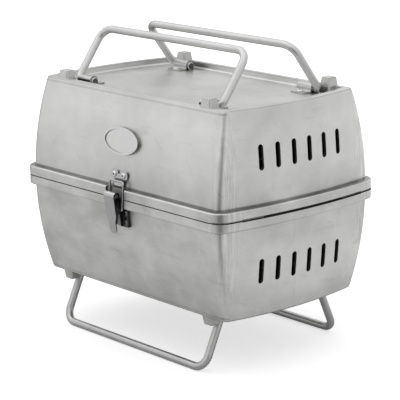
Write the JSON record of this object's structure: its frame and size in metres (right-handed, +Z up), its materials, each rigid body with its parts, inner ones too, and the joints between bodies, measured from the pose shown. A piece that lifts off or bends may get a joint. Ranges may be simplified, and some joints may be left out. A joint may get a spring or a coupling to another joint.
{
  "type": "briefcase grill",
  "caption": "Portable charcoal grill that closes like a case: two barrel-sided half shells on a rear hinge, with a toggle latch, bent-rod carrying handles and folding rod legs.",
  "frame": {"origin": "on the floor under the middle of the closed grill", "axes": "+X along the case's length, to the right seen from the latch side; +Y from the latch to the hinges; +Z up"},
  "size_m": [0.32, 0.2354, 0.3142],
  "materials": {
    "cast_body": "brushed satin casting",
    "rod_steel": "satin round rod",
    "strap_sheet": "satin sheet",
    "hinge_steel": "satin sheet",
    "latch_steel": "polished sheet and wire",
    "rivets": "domed heads",
    "grid_steel": "bright round bar",
    "grate_steel": "plain sheet",
    "badge": "satin plate",
    "fixings": "bright screws and clips"
  },
  "bodies": {
    "lower_half": {"lower_shell": "cast_body", "lower_strap_front_left": "strap_sheet", "lower_strap_front_right": "strap_sheet", "lower_strap_rear_left": "strap_sheet", "lower_strap_rear_right": "strap_sheet", "lower_strap_rivets": "rivets", "left_hinge_lower_leaf": "hinge_steel", "right_hinge_lower_leaf": "hinge_steel", "left_hinge_pin": "hinge_steel", "right_hinge_pin": "hinge_steel", "lower_hinge_rivets": "rivets", "latch_base": "latch_steel", "base_rivets": "rivets", "latch_pin": "latch_steel", "lower_cooking_grid": "grid_steel", "lower_grid_clips": "fixings", "lower_clip_screws": "fixings", "lower_charcoal_grate": "grate_steel", "lower_grate_screws": "fixings"},
    "upper_half": {"upper_shell": "cast_body", "upper_strap_front_left": "strap_sheet", "upper_strap_front_right": "strap_sheet", "upper_strap_rear_left": "strap_sheet", "upper_strap_rear_right": "strap_sheet", "upper_strap_rivets": "rivets", "left_hinge_upper_leaf": "hinge_steel", "right_hinge_upper_leaf": "hinge_steel", "upper_hinge_rivets": "rivets", "latch_keeper": "latch_steel", "keeper_rivets": "rivets", "oval_badge": "badge", "upper_cooking_grid": "grid_steel", "upper_grid_clips": "fixings", "upper_clip_screws": "fixings", "upper_charcoal_grate": "grate_steel", "upper_grate_screws": "fixings"},
    "upper_front_handle": {"upper_front_handle": "rod_steel"},
    "upper_rear_handle": {"upper_rear_handle": "rod_steel"},
    "lower_front_leg": {"lower_front_leg": "rod_steel"},
    "lower_rear_leg": {"lower_rear_leg": "rod_steel"},
    "latch_lever": {"latch_lever": "latch_steel"},
    "latch_loop": {"latch_loop": "latch_steel"}
  },
  "joints": [
    {"name": "lid_hinge", "type": "hinge", "parent": "lower_half", "child": "upper_half", "pos_m": [0, 0.1139, 0.1602], "axis": [-1, 0, 0], "range_deg": [0, 180]},
    {"name": "upper_front_handle_pivot", "type": "hinge", "parent": "upper_half", "child": "upper_front_handle", "pos_m": [0, -0.066, 0.2613], "axis": [-1, 0, 0], "range_deg": [-60, 53]},
    {"name": "upper_rear_handle_pivot", "type": "hinge", "parent": "upper_half", "child": "upper_rear_handle", "pos_m": [0, 0.066, 0.2613], "axis": [1, 0, 0], "range_deg": [-61.5, 51.5]},
    {"name": "front_leg_pivot", "type": "hinge", "parent": "lower_half", "child": "lower_front_leg", "pos_m": [0, -0.066, 0.0591], "axis": [1, 0, 0], "range_deg": [0, 113]},
    {"name": "rear_leg_pivot", "type": "hinge", "parent": "lower_half", "child": "lower_rear_leg", "pos_m": [0, 0.066, 0.0591], "axis": [-1, 0, 0], "range_deg": [0, 113]},
    {"name": "latch_lever_pivot", "type": "hinge", "parent": "lower_half", "child": "latch_lever", "pos_m": [0, -0.1139, 0.1632], "axis": [-1, 0, 0], "range_deg": [0, 95]},
    {"name": "latch_loop_pivot", "type": "hinge", "parent": "latch_lever", "child": "latch_loop", "pos_m": [0, -0.1093, 0.1487], "axis": [-1, 0, 0], "range_deg": [-70, 0]}
  ],
  "couplings": [
    {"joint": "latch_loop_pivot", "follows": "latch_lever_pivot", "ratio": -0.7}
  ]
}
